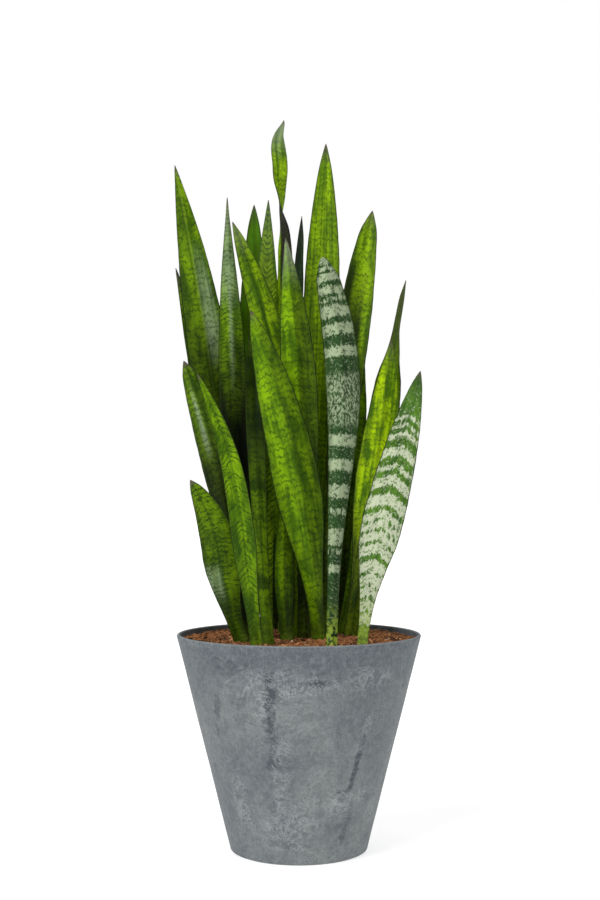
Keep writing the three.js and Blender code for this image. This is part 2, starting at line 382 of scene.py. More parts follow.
def blade_section(rows, look, rng, share, u, side):
    """How far each point lies across the blade from its middle, and in front of it."""
    at = rows.at
    half = rows.half[:, None]
    u = u[None, :]
    alive = np.clip(share * 3, 0, 1) * np.clip((1 - share) * 5, 0, 1)
    ruffle = look.ruffle * MM * alive
    lift_left = ruffle * waves(rng, at, RUFFLE_LEFT)
    lift_right = ruffle * waves(rng, at, RUFFLE_RIGHT)
    edge_left = 1 + EDGE_WAVE * alive * waves(rng, at, EDGE_LEFT)
    edge_right = 1 + EDGE_WAVE * alive * waves(rng, at, EDGE_RIGHT)
    reach = np.where(u > 0, edge_right[:, None], edge_left[:, None])
    lift = np.where(u > 0, lift_right[:, None], lift_left[:, None])

    x = u * half * reach
    x = x + np.where(side == 0, np.sign(u), 0) * EDGE_ROUNDING
    depth = rows.hollow[:, None] * np.abs(u) ** look.crease
    depth = depth + lift * np.abs(u) ** RUFFLE_POWER
    body = rows.thick[:, None] / 2 * (1 - (1 - MARGIN_SHARE) * u ** 2)
    bead = BEAD_HEIGHT * np.exp(-((np.abs(u) - BEAD_AT) / BEAD_WIDTH) ** 2)
    ribs = look.ribs * MM * np.cos(TAU * (look.rib_count * u + 0.25))
    ribs = ribs * (1 - u ** 2) * np.clip(half / RIB_FADE_WIDTH, 0, 1)
    return x, depth + side[None, :] * (body + bead + ribs)


def tube_faces(rows, count):
    """Quads between rows of count points each, and a face that closes either end."""
    faces = []
    for r in range(rows - 1):
        for i in range(count):
            j = (i + 1) % count
            faces.append((r * count + i, r * count + j, (r + 1) * count + j,
                          (r + 1) * count + i))
    faces.append(tuple(range(count - 1, -1, -1)))
    faces.append(tuple((rows - 1) * count + i for i in range(count)))
    return faces


def band_distance(bands, along):
    """How far inside a pale band (above 0) or outside (below 0) each place is, in mm."""
    best = np.full(along.shape, -99.0)
    for low, high in bands:
        best = np.maximum(best, np.minimum(along - low, high - along))
    return best


def blade(node, look, soil_top, index):
    """One fine blade in the place of its CAD solid, with the map that its pattern is drawn on."""
    rng = random.Random(f"{node}-1")
    rows = blade_rows(node, look)
    at = rows.at
    foot = np.interp(soil_top, rows.spine[:, 2], at)
    length = at[-1] - foot
    share = (at - foot) / length

    u_front = np.sin(np.linspace(-math.pi / 2, math.pi / 2, ACROSS + 1))
    u = np.concatenate([u_front, [1.0], u_front[::-1], [-1.0]])
    side = np.concatenate([np.ones(ACROSS + 1), [0], -np.ones(ACROSS + 1), [0]])
    count = len(u)
    x, rise = blade_section(rows, look, rng, share, u, side)
    points = (rows.spine[:, None, :] + rows.sides[:, None, :] * x[:, :, None]
              + rows.facing[:, None, :] * rise[:, :, None])

    # The pattern's left and right are those seen from the front, and so is its seen face, which
    # takes most of the painted shade and sheen.
    turn = 1 if rows.sides[:, 0].mean() > 0 else -1
    towards_front = -1 if rows.facing[:, 1].mean() > 0 else 1
    along_mm = np.repeat((at - foot)[:, None] / MM, count, axis=1)
    across_mm = turn * x / MM
    blade_map = np.stack([across_mm, along_mm, np.repeat(turn * u[None, :], ROWS, axis=0)], axis=2)
    attributes = {
        "blade": blade_map.reshape(-1, 3),
        "share": np.repeat(share, count),
        "seen": np.tile(towards_front * side, ROWS),
    }
    if look.bands:
        bent = along_mm + look.chevron * np.abs(across_mm)
        attributes["band"] = band_distance(look.bands, bent).ravel()
    name = node.replace("leaf_", "blade_")
    material = LeafTree(name, look, length / MM, 3.7 * index + 1.3).finished()
    mesh_object(name, points.reshape(-1, 3), tube_faces(ROWS, count), material,
                (node,), attributes)


class LeafTree(Tree):
    """Waxy leaf: feathered cross lines on green, a pale foot, dry tip and hard margin."""

    def __init__(self, name, look, height, seed):
        super().__init__(name)
        self.look = look
        self.height = height
        self.seed = seed
        # x and y are mm across and along the blade, u runs from -1 to 1 across it, and share
        # from 0 at the mix to 1 at the tip.
        self.x, self.y, self.u = self.split(self.attribute("blade").outputs["Vector"])
        self.share = self.attribute("share").outputs["Fac"]
        self.seen = self.step(self.attribute("seen").outputs["Fac"], -0.2, 0.2)
        self.off = self.math("ABSOLUTE", self.x)
        self.edge = self.math("ABSOLUTE", self.u)

        # Distance along the leaf, bent into chevrons and feathered along the fibres.
        self.feather = self.grain(0.34, 0.07, 0)
        wander = self.grain(0.06, 0.03, 31)
        self.bent = self.plus(self.y, self.times(self.off, look.chevron),
                              self.swing(self.feather, look.feather),
                              self.swing(wander, look.wander))

        self.patch = self.grain(0.08, 0.022, 23, detail=4.0)
        self.fibre = self.grain(2.4, 0.035, 41)
        self.pores = self.grain(1.3, 1.1, 47)
        self.streaks = self.grain(0.22, 0.007, 61)
        self.tone = self.plus(self.times(self.patch, 0.9), self.swing(self.streaks, 0.4))
        self.wisps = self.grain(0.12, 0.36, 13, True, detail=3.0, roughness=0.65)

    def grain(self, across, along, offset, bent=False, **settings):
        """Noise with so many grains for each mm across, and along the leaf or its lines."""
        place = self.bent if bent else self.y
        vector = self.join(self.times(self.x, across), self.times(place, along),
                           self.seed + offset)
        return self.noise(vector, **settings)

    def ground(self):
        """Brighter and darker green, with fine fibres."""
        look = self.look
        colour = self.mix(self.step(self.tone, 0.30, 0.56), look.mid, look.bright)
        return self.mix(self.times(self.step(self.fibre, 0.40, 0.80), 0.20), colour, look.mid)

    def cross_lines(self, colour):
        """An uneven wave along the leaf, broken up and changing in strength, and wisps."""
        look = self.look
        wave = self.math("SINE", self.times(self.bent, TAU / look.spacing))
        strength = self.step(self.grain(0.11, 0.085, 11, True), 0.38, 0.54, 0.05, 1.0)
        lines = self.times(self.step(wave, 0.45, 0.86), strength)
        lines = self.larger(lines, self.times(self.step(self.wisps, 0.57, 0.63), 0.9))
        self.lines = self.times(lines, look.fine)
        halo = self.times(self.step(wave, -0.5, 0.95), strength, 0.45)
        halo = self.larger(halo, self.times(self.step(self.wisps, 0.44, 0.60), 0.5))
        broad = self.step(self.grain(0.015, 0.045, 5, True, detail=1.0), 0.50, 0.62)
        colour = self.mix(self.times(halo, look.fine), colour, look.mid)
        colour = self.mix(self.times(broad, look.broad), colour, look.dark)
        return self.mix(self.lines, colour, look.dark)

    def pale_bands(self, colour):
        """Ragged pale bands, cut by green, with flecks between them and one shredded zone."""
        look = self.look
        band = self.attribute("band").outputs["Fac"]
        inside = self.plus(band, self.swing(self.feather, 15.0), self.swing(self.pores, 3.0))
        cuts = self.grain(0.16, 0.34, 53, True)
        cuts = self.times(self.step(cuts, 0.55, 0.60), look.cuts)
        flecks = self.grain(0.20, 0.48, 59, True, roughness=0.6)
        flecks = self.step(flecks, 0.57, 0.64, 0.0, look.flecks)
        pale = self.times(self.step(inside, -0.7, 0.9), self.inverse(cuts))
        pale = self.larger(pale, flecks)
        low, high = look.mottled
        shreds = self.grain(0.34, 0.22, 67, True, detail=3.0, roughness=0.6)
        shreds = self.step(shreds, 0.44, 0.58, 0.05, 0.85)
        zone = self.times(self.step(self.y, low - 8, low + 4),
                          self.down(self.y, high - 4, high + 8))
        pale = self.plus(self.times(pale, self.inverse(zone)), self.times(shreds, zone))
        dull = tuple(0.8 * c for c in look.pale)
        tint = self.mix(self.step(self.tone, 0.25, 0.6), dull, look.pale)
        return self.mix(pale, colour, tint)

    def middle_line_and_stripes(self, colour):
        look = self.look
        # A line along the middle of the blade, darker or lime as each look gives it.
        middle_line = self.times(self.down(self.off, look.rib_width * 0.2, look.rib_width),
                         self.step(self.share, 0.05, 0.3, 0.3, 1.0),
                         self.step(self.patch, 0.25, 0.55, 0.5, 1.0))
        colour = self.mix(self.times(middle_line, look.rib_share), colour, look.rib_colour)
        stripes = self.math("COSINE", self.times(self.u, look.stripe_turns * math.pi))
        stripes = self.times(self.down(stripes, -0.95, -0.5), look.stripe_share,
                             self.step(self.wisps, 0.38, 0.56, 0.25, 1.0))
        colour = self.mix(stripes, colour, look.dark)
        outer = self.step(self.edge, 0.62, 0.95)
        return self.mix(self.times(outer, look.edge_dark), colour, look.dark)

    def painted_shade(self, colour):
        """Painted shade: one half darker than the other and all darker towards the foot, most of it
        on the seen face.
        """
        look = self.look
        # left and right paint the light and shade of either half, split at middle; shade paints
        # shade towards the foot.
        half = self.step(self.x, look.middle - 1.5, look.middle + 1.5, look.left,
                         look.right)
        low, high, depth = look.shade
        uneven = self.plus(self.share, self.swing(self.patch, 0.1))
        front_shade = self.times(half, self.step(uneven, low, high, depth, 1.0))
        back_shade = self.step(uneven, 0.0, 0.3, 0.5, 0.9)
        shade_tone = self.step(self.seen, 0.0, 1.0, back_shade, front_shade)
        return self.mix(1.0, colour, self.join(shade_tone, shade_tone, shade_tone), "MULTIPLY")

    def zone(self, colour, u_low, u_high, low, high, amount, tint):
        """One tinted zone of the seen face, between two places across it and two shares: mostly
        painted sheen or painted shadow.
        """
        reach = 0.25 * (high - low)
        zone = self.times(self.step(self.u, u_low - 0.18, u_low + 0.18),
                          self.down(self.u, u_high - 0.18, u_high + 0.18),
                          self.step(self.share, low - reach, low + reach),
                          self.down(self.share, high - reach, high + reach),
                          self.times(self.seen, amount))
        # Painted sheen and lime zones are broken up by streaks and patches, and kept off the cross
        # lines.
        if tint in (PAINTED_SHEEN, LIME):
            grey = self.plus(self.times(self.streaks, 0.6), self.times(self.patch, 0.4))
            zone = self.times(zone, self.step(grey, 0.30, 0.60, 0.35, 1.0),
                              self.inverse(self.lines))
        return self.mix(zone, colour, tint)

    def margins(self, colour):
        """A light line inside a hard dark margin."""
        light = self.times(self.step(self.edge, 0.88, 0.93), self.down(self.edge, 0.94, 0.965))
        colour = self.mix(self.times(light, self.look.edge_light), colour, LIGHT_LINE)
        self.hard = self.step(self.edge, 0.955, 0.98)
        return self.mix(self.times(self.hard, 0.85), colour, self.look.margin)

    def ends(self, colour):
        """The pale foot, the tip's own tint and its last dry millimetres."""
        look = self.look
        foot = self.times(self.down(self.share, 0.0, look.foot_reach), look.foot_share)
        lumps = self.step(self.grain(0.22, 0.16, 71), 0.40, 0.56, look.foot_even, 1.0)
        colour = self.mix(self.times(foot, lumps), colour, look.foot)
        tip = self.step(self.plus(self.share, self.swing(self.streaks, 0.06)),
                        1 - look.tip_reach, 1.0)
        colour = self.mix(self.times(tip, look.tip_share), colour, look.tip)
        left_over = self.times(self.inverse(self.share), self.height)
        dry = self.down(self.plus(left_over, self.swing(self.streaks, 6.0)), 2.0, 9.0)
        self.dry = self.times(dry, look.dry)
        return self.mix(self.dry, colour, DRY)

    def shaded_twist(self, colour, low, high, from_u):
        """Painted shade where a twist turns away, on the seen face between two shares, from one
        place across.
        """
        shaded_twist = self.times(self.down(self.share, high - 0.04, high),
                          self.step(self.share, low, low + 0.2),
                          self.step(self.u, from_u - 0.15, from_u + 0.15))
        return self.mix(self.times(shaded_twist, self.seen, 0.93), colour, TWIST_SHADOW)

    def finished(self):
        look = self.look
        colour = self.cross_lines(self.ground())
        if look.bands:
            colour = self.pale_bands(colour)
        colour = self.painted_shade(self.middle_line_and_stripes(colour))
        for zone in look.zones:
            colour = self.zone(colour, *zone)
        colour = self.ends(self.margins(colour))
        if look.shaded_twist:
            colour = self.shaded_twist(colour, *look.shaded_twist)
        height = self.plus(self.times(self.fibre, 0.5), self.times(self.pores, 0.2),
                           self.times(self.streaks, 0.4))
        rough = self.plus(look.rough, self.swing(self.patch, 0.16),
                          self.times(self.larger(self.dry, self.hard), 0.4))
        self.set(Base_Color=colour, Roughness=rough, Normal=self.bump(height, 0.0004, 0.6))
        self.set(Specular_IOR_Level=look.gloss)
        return self.material


# Lengths are in mm, heights are shares of the blade, and places across run from -1 to 1.
#   spike, tip_power            width of the tip's spike, and how bluntly the blade closes
#   nudges                      sideways shifts: at a height, over a reach, in mm
#   chevron, feather, wander    how the cross lines are bent, frayed and carried off
#   spacing, broad, fine        between two lines, and strength of broad and fine ones
#   bands, mottled              pale bands and a shredded zone, from and to
#   cuts, flecks                strength of green cuts in the bands and pale flecks between
#   left, right, middle         painted light and shade of either half, and where they meet
#   shade                       between which heights the painted shade fades, and its tone below them
#   zones                       from and to across, from and to in height, strength, tint (mostly painted sheen or shadow)
#   dusk                        painted shade of a twist: from and to in height, and from which place across
DEFAULT_LOOK = dict(
    slot="leaf_green", spike=1.0, tip_power=0.85, nudges=(),
    crease=1.2, ruffle=1.6, ribs=0.12, rib_count=3.0,
    bright=BRIGHT, mid=MID, dark=DARK, pale=PALE,
    chevron=0.1, feather=14.0, wander=16.0, spacing=8.5, broad=0.25, fine=0.6,
    bands=(), mottled=(-99, -90), cuts=0.8, flecks=0.6,
    left=1.0, right=0.8, middle=0.0, shade=(0.0, 0.25, 0.55), shaded_twist=None,
    rib_share=0.35, rib_width=2.4, rib_colour=DARK,
    stripe_turns=6.0, stripe_share=0.0,
    edge_dark=0.4, edge_light=0.12, margin=RIM,
    foot=LIME, foot_reach=0.10, foot_share=0.15, foot_even=0.3,
    tip=DRY, tip_reach=0.05, tip_share=0.4, dry=0.9, zones=(),
    rough=0.40, gloss=0.06,
)

# Zones in the sheen tint are painted sheen; left, right and shade paint light and shade on each
# blade.
LOOKS = dict(
    left_tall=dict(
        zones=((0.1, 0.75, 0.60, 0.80, 0.6, PAINTED_SHEEN),), rib_colour=LIME,
        rib_share=0.25, shade=(0.50, 0.84, 0.3), left=0.85,
        tip=SMOKE, tip_reach=0.04, tip_share=0.8),
    left_behind=dict(shade=(0.5, 1.0, 0.25), tip=SMOKE, tip_reach=0.12, tip_share=0.8),
    left_glossy=dict(
        zones=((-0.45, -0.20, 0.68, 0.88, 0.8, PAINTED_SHEEN),), rough=0.30, gloss=0.08,
        shade=(0.5, 0.95, 0.16), broad=0.3, left=0.65, right=0.5),
    left_low=dict(
        chevron=0.25, fine=0.8, spacing=6.2, wander=9.0, feather=9.0,
        zones=((-1.0, -0.1, 0.28, 0.46, 0.5, PAINTED_SHEEN),),
        left=0.5, right=0.6, shade=(0.1, 0.5, 0.6)),
    folded=dict(
        slot="leaf_dark", spike=1.3, tip_reach=0.12, tip=(0.14, 0.12, 0.13),
        zones=((-0.9, 0.9, 0.78, 0.97, 0.5, PAINTED_SHEEN), (-0.1, 0.2, 0.62, 0.95, 0.5, PAINTED_SHEEN)),
        spacing=5.5, fine=0.75, chevron=0.3, feather=7.0,
        shade=(0.45, 0.76, 0.06), left=0.7, right=0.7, rib_share=0.0),
    leaning=dict(
        rib_share=0.75, rib_width=3.5, chevron=0.3, spacing=10.0,
        bright=BRIGHTEST, broad=0.15, tip=(0.20, 0.24, 0.12), tip_reach=0.10),
    centre=dict(
        tip=(0.30, 0.33, 0.25), tip_reach=0.14, left=1.1, right=0.5, shade=(0.2, 0.55, 0.12)),
    twisted_tallest=dict(
        tip=(0.22, 0.26, 0.18), tip_reach=0.08, tip_share=0.6, broad=0.3,
        # Painted shade on the turned-away half below the twist.
        spacing=7.0, shaded_twist=(0.5, 0.87, -0.3),
        nudges=((0.955, 0.04, -4.0), (1.0, 0.02, 6.0), (0.885, 0.03, -4.0),
                (0.83, 0.03, -3.0)),
        rib_share=0.0, right=1.0, bright=BRIGHTEST),
    sliver=dict(
        slot="leaf_dark", tip=(0.045, 0.040, 0.045), tip_reach=0.14,
        left=0.35, right=0.6, bright=(0.060, 0.130, 0.045), mid=(0.030, 0.060, 0.025)),
    plain=dict(
        broad=0.1, fine=0.1, left=0.75, right=0.75,
        bright=(0.085, 0.230, 0.006), tip=SMOKE, tip_reach=0.06),
    chevron=dict(
        chevron=-0.9, fine=0.8, tip=(0.14, 0.17, 0.12), right=0.95,
        tip_reach=0.20, spacing=8.0, bright=BRIGHTEST, feather=7.0,
        wander=8.0, zones=((-0.7, 0.7, 0.70, 0.86, 0.35, LIME),)),
    right_tall=dict(
        stripe_share=0.6, stripe_turns=5.0, broad=0.1, fine=0.5,
        edge_dark=0.5, right=1.0, bright=BRIGHTEST, mid=(0.105, 0.200, 0.006),
        tip=SMOKE, tip_share=0.8),
    front_left=dict(
        chevron=0.9, rib_share=0.4, fine=0.75, left=0.85, right=0.85,
        # The dark zone on the lower left is painted shade.
        spacing=7.5, feather=9.0, zones=((-1.5, -0.25, 0.0, 0.42, 0.6, DARK),)),
    front_narrow=dict(
        slot="leaf_dark", broad=0.75, left=0.8, right=0.6,
        # The near-black zone on the upper part is painted shadow, and shade paints the foot darker.
        shade=(0.15, 0.6, 0.8), zones=((-1.5, 1.5, 0.46, 1.2, 0.85, PAINTED_SHADOW),)),
    front_short=dict(right=0.5, shade=(0.1, 0.5, 0.5)),
    front_broad=dict(
        broad=0.15, left=1.1, right=0.62, middle=3.0, spacing=9.0,
        # The dark zone beside the middle is painted shade in the fold.
        rib_width=4.0, zones=((0.15, 0.35, 0.30, 0.75, 0.45, DARK),)),
    front_pale=dict(
        slot="leaf_pale", bright=(0.026, 0.066, 0.018), mid=(0.012, 0.034, 0.010),
        bands=((490, 520), (483, 488), (469, 479), (453, 464), (444, 448), (424, 438),
               (401, 415), (373, 386), (327, 336), (258, 273), (227, 241), (192, 209),
               (171, 177), (131, 152), (120, 126), (96, 106)), mottled=(286, 348),
        pale=(0.31, 0.38, 0.23), wander=3.0, foot_reach=0.13, foot_share=1.0,
        foot_even=0.0, tip_share=0.0, dry=0.0, spike=0.5, tip_power=0.62,
        right=0.75, fine=0.3, rib_share=0.1, spacing=6.0, shade=(0.0, 0.1, 1.0)),
    right_upper=dict(
        left=0.75, right=0.9, broad=0.1, fine=0.55, shade=(0.40, 0.70, 0.4), bright=BRIGHTEST,
        rib_share=0.1,
        # The near-black zones are painted shadow along the neighbouring blade.
        zones=((-1.5, -0.45, 0.66, 0.88, 0.9, PAINTED_SHADOW), (-1.5, 0.40, 0.45, 0.80, 0.95, PAINTED_SHADOW),
               (-1.5, 1.20, 0.36, 0.66, 0.85, PAINTED_SHADOW))),
    right_edge_on=dict(
        left=0.8, broad=0.1, tip_reach=0.30, tip=(0.085, 0.105, 0.035), tip_share=0.9),
    right_olive=dict(
        rib_share=0.45, rib_width=4.0, shade=(0.25, 0.50, 0.20), left=1.3,
        right=1.05, fine=0.5, tip_reach=0.1, bright=OLIVE),
    right_pale=dict(
        slot="leaf_pale", bright=(0.09, 0.20, 0.02), mid=(0.034, 0.09, 0.015),
        bands=((300, 305), (289, 293), (276, 283), (252, 264), (234, 240), (212, 226),
               (186, 202), (169, 179), (156, 166), (140, 153), (122, 136), (100, 114),
               (82, 96), (66, 79), (48, 62), (30, 44)),
        chevron=0.55, pale=(0.47, 0.52, 0.36), wander=6.0, foot_reach=0.22,
        foot_share=0.7, tip_share=0.3, edge_dark=0.1, right=0.92,
        rib_share=0.0, fine=0.4, spacing=6.0, shade=(0.0, 0.10, 0.85),
        zones=((-1.5, 1.5, 0.93, 1.20, 0.9, (0.026, 0.062, 0.012)),)),
)
# Blades at the back: painted shade towards the foot.
BACK_LOOK = dict(shade=(0.1, 0.7, 0.10), right=0.9)


# ======== planter ========
POT_SEGMENTS = 288
WALL_ROWS = 90
LIP_STEPS = 12
INSIDE_ROWS = 30
FOOT_FADE = 0.02
# The casting's waves: bumps for each metre, and their height in mm.
SLOW_WAVE = (14, 0.35)
QUICK_WAVE = (60, 0.10)

# ---- cast stone colours, linear ----
STONE_DEEP, STONE_LIGHT = (0.096, 0.110, 0.119), (0.142, 0.155, 0.158)
STONE_STREAK, STONE_TOP = (0.088, 0.104, 0.114), (0.068, 0.082, 0.096)
SPECK_DARK, SPECK_LIGHT = (0.070, 0.084, 0.093), (0.28, 0.305, 0.31)
SCRATCH_DARK, SCRATCH_LIGHT = (0.075, 0.09, 0.10), (0.25, 0.27, 0.275)
STAIN_DARK, STAIN = (0.040, 0.052, 0.062), (0.072, 0.086, 0.096)
VEIN, DUST, WORN_LIP = (0.32, 0.35, 0.35), (0.27, 0.295, 0.295), (0.24, 0.26, 0.26)

# Dark and cloudy marks of the casting: place round the wall and height in mm, half sizes in
# mm, lean to the right for each mm up, and strength.
DARK_MARKS = ((-36, 215, 9, 50, 0.02, 0.85), (-31, 158, 8, 34, 0.12, 0.75),
              (-116, 205, 7, 30, 0.1, 0.65), (78, 130, 6, 36, 0.30, 0.9),
              (60, 98, 12, 4, 0.0, 0.6), (24, 242, 14, 4, 0.0, 0.85),
              (-95, 262, 30, 12, 0.0, 0.45), (-28, 52, 9, 8, 0.0, 0.6),
              (62, 44, 5, 20, 0.3, 0.6), (-78, 215, 12, 8, 0.0, 0.4))
LIGHT_MARKS = ((-14, 240, 70, 20, 0.0, 0.6), (-48, 215, 12, 60, 0.0, 0.5),
               (-24, 120, 14, 70, 0.0, 0.6), (-10, 50, 40, 40, 0.1, 0.6),
               (60, 85, 40, 20, 0.5, 0.6), (98, 245, 44, 14, 0.2, 0.5),
               (-80, 70, 16, 60, -0.2, 0.5), (88, 170, 10, 40, 0.4, 0.4))


def turned(profile, segments, wobble):
    """Vertices and faces of a closed turned solid, its profile running from axis to axis."""
    vertices, faces = [], []
    rings = []
    for radius, z in profile:
        if radius < 1e-7:
            rings.append([len(vertices)])
            vertices.append((0.0, 0.0, z))
            continue
        ring = []
        for i in range(segments):
            angle = TAU * i / segments
            direction = Vector((math.cos(angle), math.sin(angle), 0))
            place = direction * radius + Vector((0, 0, z))
            ring.append(len(vertices))
            vertices.append(tuple(place + direction * wobble(place)))
        rings.append(ring)
    for below, above in zip(rings, rings[1:]):
        for i in range(segments):
            j = (i + 1) % segments
            corners = [below[i % len(below)], below[j % len(below)],
                       above[j % len(above)], above[i % len(above)]]
            faces.append(tuple(dict.fromkeys(corners)))
    return vertices, faces


def casting_waves(place):
    """How far the wall stands out at a place, fading to nothing at the foot."""
    slow = noise.noise(place * SLOW_WAVE[0]) * SLOW_WAVE[1]
    quick = noise.noise(place * QUICK_WAVE[0]) * QUICK_WAVE[1]
    return (slow + quick) * MM * min(1.0, place.z / FOOT_FADE)


def pot():
    """The cast planter, on the CAD planter's own radii."""
    points = np.array([v.co for v in NODES["pot"].data.vertices])
    radii = np.hypot(points[:, 0], points[:, 1])
    heights = points[:, 2]
    rim = radii.max()
    height = heights.max()
    floor = heights[(radii < NEAR) & (heights > NEAR)].max()
    flat = radii[heights < NEAR].max()
    inner = radii[np.abs(heights - floor) < NEAR].max()
    lip_z = heights[radii.argmax()]
    lip_radius = height - lip_z

    # The rounded foot is read from the CAD's right-hand meridian, outside the inner floor.
    meridian = (np.abs(points[:, 1]) < 1e-5) & (points[:, 0] > inner + MM)
    foot = points[meridian & (heights < floor / 2)]
    foot = np.unique(np.round(foot[:, [2, 0]], 7), axis=0)
    low_z, low_radius = foot[-1]
    profile = [(0.0, 0.0), (flat * 0.5, 0.0), (flat, 0.0)]
    profile += [(radius, z) for z, radius in foot]
    slope = (rim - low_radius) / (lip_z - low_z)
    for i in range(1, WALL_ROWS + 1):
        z = low_z + (lip_z - low_z) * i / WALL_ROWS
        profile.append((low_radius + slope * (z - low_z), z))
    for i in range(1, LIP_STEPS + 1):
        angle = math.pi * i / LIP_STEPS
        profile.append((rim - lip_radius + lip_radius * math.cos(angle),
                        lip_z + lip_radius * math.sin(angle)))
    inside_radius, inside_z = profile[-1]
    for i in range(1, INSIDE_ROWS + 1):
        s = i / INSIDE_ROWS
        profile.append((inside_radius + (inner - inside_radius) * s,
                        inside_z + (floor - inside_z) * s))
    profile.append((0.0, floor))

    vertices, faces = turned(profile, POT_SEGMENTS, casting_waves)
    at = np.array(vertices)
    around = np.arctan2(at[:, 0], -at[:, 1])
    wall = np.column_stack([around * np.hypot(at[:, 0], at[:, 1]), at[:, 2],
                            np.zeros(len(at))]) / MM
    material = pot_material(height / MM)
    mesh_object("pot_shell", vertices, faces, material, ("pot",), {"wall": wall})


def pot_material(height):
    """Cast stone look: blue-grey clouds, crisp mottling, pale wisps and scratches, stains."""
    t = Tree("stone_cast")
    coordinates = t.add("ShaderNodeTexCoord").outputs["Object"]
    arc, z, _ = t.split(t.attribute("wall").outputs["Vector"])
    cloud = t.noise(coordinates, 9.0, 6.0, 0.62, 0.6)
    small = t.noise(coordinates, 60.0, 6.0, 0.72, 0.5)
    speckle = t.noise(coordinates, 190.0, 5.0, 0.75, 0.3)
    grain = t.noise(coordinates, 700.0, 3.0, 0.7)
    streak = t.noise(t.join(t.times(arc, 0.07), t.times(z, 0.012), 2.0), 1.0, 6.0, 0.65, 0.4)
    scratch = t.noise(t.join(t.times(arc, 0.55), t.times(z, 0.05), 9.0), 1.0, 4.0, 0.7, 0.3)
    swirl = t.noise(coordinates, 26.0, 7.0, 0.68, 1.4)
    slow_swirl = t.noise(t.join(t.times(arc, 0.03), t.times(z, 0.045), 4.0), 1.0, 8.0, 0.7, 1.1)

    def marks(items):
        """Ragged leaning ovals, the strongest of them at each place."""
        total = 0.0
        for where, level, wide, tall, lean, strength in items:
            dz = t.plus(z, -level)
            dx = t.plus(arc, -where, t.times(dz, -lean))
            dz = t.math("DIVIDE", dz, tall)
            dx = t.math("DIVIDE", dx, wide)
            far = t.math("SQRT", t.plus(t.times(dx, dx), t.times(dz, dz)))
            far = t.plus(far, t.swing(small, 3.0), t.swing(speckle, 1.2))
            total = t.larger(total, t.times(t.down(far, 0.45, 1.15), strength))
        return total

    def wisps(value, centre, width):
        """Thin lines where a noise passes a value."""
        return t.down(t.math("ABSOLUTE", t.plus(value, -centre)), 0.0, width)

    light = marks(LIGHT_MARKS)
    colour = t.mix(t.step(cloud, 0.34, 0.64), STONE_DEEP, STONE_LIGHT)
    colour = t.mix(t.times(t.step(streak, 0.50, 0.66), 0.40), colour, STONE_STREAK)
    uneven = t.plus(z, t.swing(small, 70.0))
    colour = t.mix(t.times(t.step(uneven, height - 95.0, height - 10.0), 0.75), colour,
                   STONE_TOP)
    colour = t.mix(t.times(t.down(speckle, 0.30, 0.50), 0.45), colour, SPECK_DARK)
    light_specks = t.times(t.step(speckle, 0.50, 0.66), t.plus(0.20, t.times(light, 0.35)))
    colour = t.mix(light_specks, colour, SPECK_LIGHT)
    colour = t.mix(t.times(t.step(scratch, 0.55, 0.70), 0.35), colour, SCRATCH_LIGHT)
    colour = t.mix(t.times(t.down(scratch, 0.30, 0.44), 0.30), colour, SCRATCH_DARK)
    colour = t.mix(marks(DARK_MARKS), colour, STAIN_DARK)
    colour = t.mix(t.times(t.step(slow_swirl, 0.57, 0.66), 0.5), colour, STAIN)
    veins = t.larger(wisps(swirl, 0.5, 0.022), wisps(slow_swirl, 0.47, 0.020))
    cloudy = t.plus(t.times(light, 0.9), t.step(cloud, 0.5, 0.68, 0.22, 0.5))
    colour = t.mix(t.times(veins, t.times(cloudy, 0.8)), colour, VEIN)
    dust = t.times(t.step(small, 0.51, 0.60), t.plus(0.10, t.times(light, 0.6)))
    colour = t.mix(dust, colour, DUST)
    lip = t.step(z, height - 2.5, height - 0.5)
    colour = t.mix(t.times(lip, 0.35), colour, WORN_LIP)

    relief = t.plus(t.times(small, 0.5), t.times(grain, 0.3), t.times(speckle, 0.4))
    rough = t.plus(0.62, t.swing(cloud, 0.25))
    t.set(Base_Color=colour, Roughness=rough, Normal=t.bump(relief, 0.0008, 0.7))
    t.set(Specular_IOR_Level=0.3)
    return t.material


# ======== potting mix ========
SOIL_RINGS = 70
SOIL_SPOKES = 260
SOIL_OVERLAP = 0.0002
SOIL_TONE = 0.25
# The surface's lumps: bumps for each metre, and their height in mm.
LUMPS = ((45, 2.2), (120, 1.6), (330, 0.9))
CHIPS = 2600
BIG_CHIP_SHARE = 0.06
BIG_CHIP_SCALE = 2.2
PALE_CHIP_SHARE = 0.012
PALE_CHIP_TONE = 1.6
FIBRES = 1500
FIBRE_STEPS = 6
FIBRE_SIDES = 3
BOX_CORNERS = ((-1, -1, -1), (1, -1, -1), (1, 1, -1), (-1, 1, -1),
               (-1, -1, 1), (1, -1, 1), (1, 1, 1), (-1, 1, 1))
BOX_FACES = ((0, 3, 2, 1), (4, 5, 6, 7), (0, 1, 5, 4), (1, 2, 6, 5), (2, 3, 7, 6), (3, 0, 4, 7))


def soil_height(x, y, top):
    place = Vector((x, y, 0))
    return top + sum(noise.noise(place * scale) * size for scale, size in LUMPS) * MM


